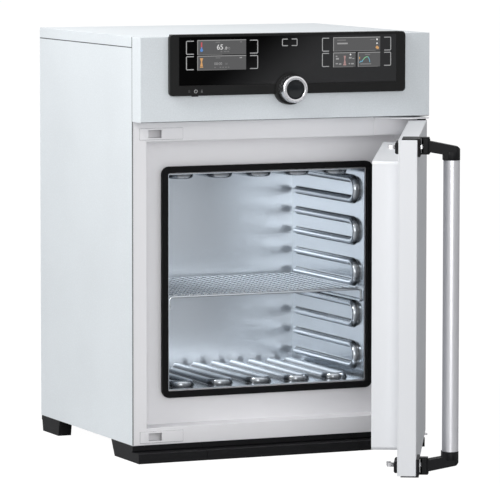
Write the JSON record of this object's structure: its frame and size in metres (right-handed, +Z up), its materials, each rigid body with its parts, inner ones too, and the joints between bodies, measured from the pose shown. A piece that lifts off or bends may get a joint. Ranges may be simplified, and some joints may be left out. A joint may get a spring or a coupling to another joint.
{
  "type": "paraffin oven",
  "caption": "Bench oven with ribbed stainless chamber, wire shelf, control panel with selector ring, and a side-hinged insulated door that latches with a bar handle.",
  "frame": {"origin": "on the floor under the cabinet's mid-plane, in the plane of the front frame's face, on the underside of the middle front foot", "axes": "+X to the right of someone who faces the control panel, +Y into the cabinet, +Z up"},
  "size_m": [0.5876, 1.0384, 0.788],
  "materials": {
    "housing_steel": "textured stainless steel, satin",
    "front_steel": "fine brushed stainless steel",
    "chamber_steel": "brushed stainless steel",
    "hardware_steel": "bright steel",
    "handle_steel": "satin stainless tube",
    "knob_metal": "bright satin metal",
    "black_plastic": "fine textured black",
    "black_gloss": "gloss black",
    "panel_glass": "dark tinted glass",
    "display_screen": "lit display",
    "gasket_rubber": "black silicone",
    "heater_mat": "silicone heating mat",
    "insulation_fill": "mineral wool",
    "circuit_board": "circuit board"
  },
  "bodies": {
    "cabinet": {"side_panel_left": "housing_steel", "side_panel_right": "housing_steel", "top_cover": "housing_steel", "rear_panel": "housing_steel", "base_plate": "housing_steel", "electronics_tray": "housing_steel", "control_fascia": "housing_steel", "front_frame": "front_steel", "hinge_bracket_top": "front_steel", "hinge_bracket_bottom": "front_steel", "strike_plate_top": "front_steel", "strike_plate_bottom": "front_steel", "ribbed_wall_left": "chamber_steel", "ribbed_wall_right": "chamber_steel", "ribbed_wall_floor": "chamber_steel", "ribbed_wall_ceiling": "chamber_steel", "chamber_back_wall": "chamber_steel", "heating_mat_left": "heater_mat", "heating_mat_right": "heater_mat", "heating_mat_floor": "heater_mat", "heating_mat_ceiling": "heater_mat", "insulation_jacket": "insulation_fill", "door_gasket": "gasket_rubber", "frame_screws": "hardware_steel", "rear_screws": "hardware_steel", "hinge_pins": "hardware_steel", "temperature_sensor": "hardware_steel", "front_foot_left": "black_plastic", "front_foot_middle": "black_plastic", "front_foot_right": "black_plastic", "rear_foot_left": "black_plastic", "rear_foot_right": "black_plastic", "control_bezel": "black_gloss", "control_glass": "panel_glass", "display_left": "display_screen", "display_right": "display_screen", "control_board": "circuit_board", "power_board": "circuit_board", "rotary_encoder": "black_plastic", "mains_inlet": "black_plastic", "flap_motor": "black_plastic"},
    "door": {"door_outer_panel": "front_steel", "door_inner_panel": "front_steel", "door_insulation": "insulation_fill", "hinge_blocks": "black_plastic", "handle_brackets": "black_plastic", "latch_guides": "black_plastic", "handle_pins": "hardware_steel"},
    "handle": {"handle_tube": "handle_steel", "handle_arms": "black_plastic", "latch_hooks": "hardware_steel"},
    "selector_ring": {"turn_ring": "knob_metal"},
    "confirm_key": {"confirm_button": "black_gloss"},
    "power_key": {"power_button": "black_plastic"},
    "shelf": {"shelf_frame": "hardware_steel", "shelf_grid": "hardware_steel"},
    "flap": {"air_flap": "chamber_steel"}
  },
  "joints": [
    {"name": "door_swing", "type": "hinge", "parent": "cabinet", "child": "door", "pos_m": [0.2816, -0.031, 0.3246], "axis": [0, 0, 1], "range_deg": [-62.16, 117.84]},
    {"name": "handle_turn", "type": "hinge", "parent": "door", "child": "handle", "pos_m": [0.05555, -0.50827, 0.3246], "axis": [0, 0, 1], "range_deg": [-15.6, 0]},
    {"name": "selector_turn", "type": "hinge", "parent": "cabinet", "child": "selector_ring", "pos_m": [0.001, -0.067, 0.685], "axis": [0, -1, 0], "continuous": true},
    {"name": "confirm_press", "type": "slide", "parent": "cabinet", "child": "confirm_key", "axis": [0, 1, 0], "range_m": [0, 0.0012], "stiffness_N_per_m": 900, "springref_m": -0.001},
    {"name": "power_press", "type": "slide", "parent": "cabinet", "child": "power_key", "axis": [0, 0, 1], "range_m": [0, 0.0012], "stiffness_N_per_m": 600, "springref_m": -0.001},
    {"name": "shelf_slide", "type": "slide", "parent": "cabinet", "child": "shelf", "axis": [0, -1, 0], "range_m": [0, 0.08]},
    {"name": "air_flap_turn", "type": "hinge", "parent": "cabinet", "child": "flap", "pos_m": [-0.12, 0.451, 0.47], "axis": [0, 0, 1], "range_deg": [0, 90]}
  ]
}
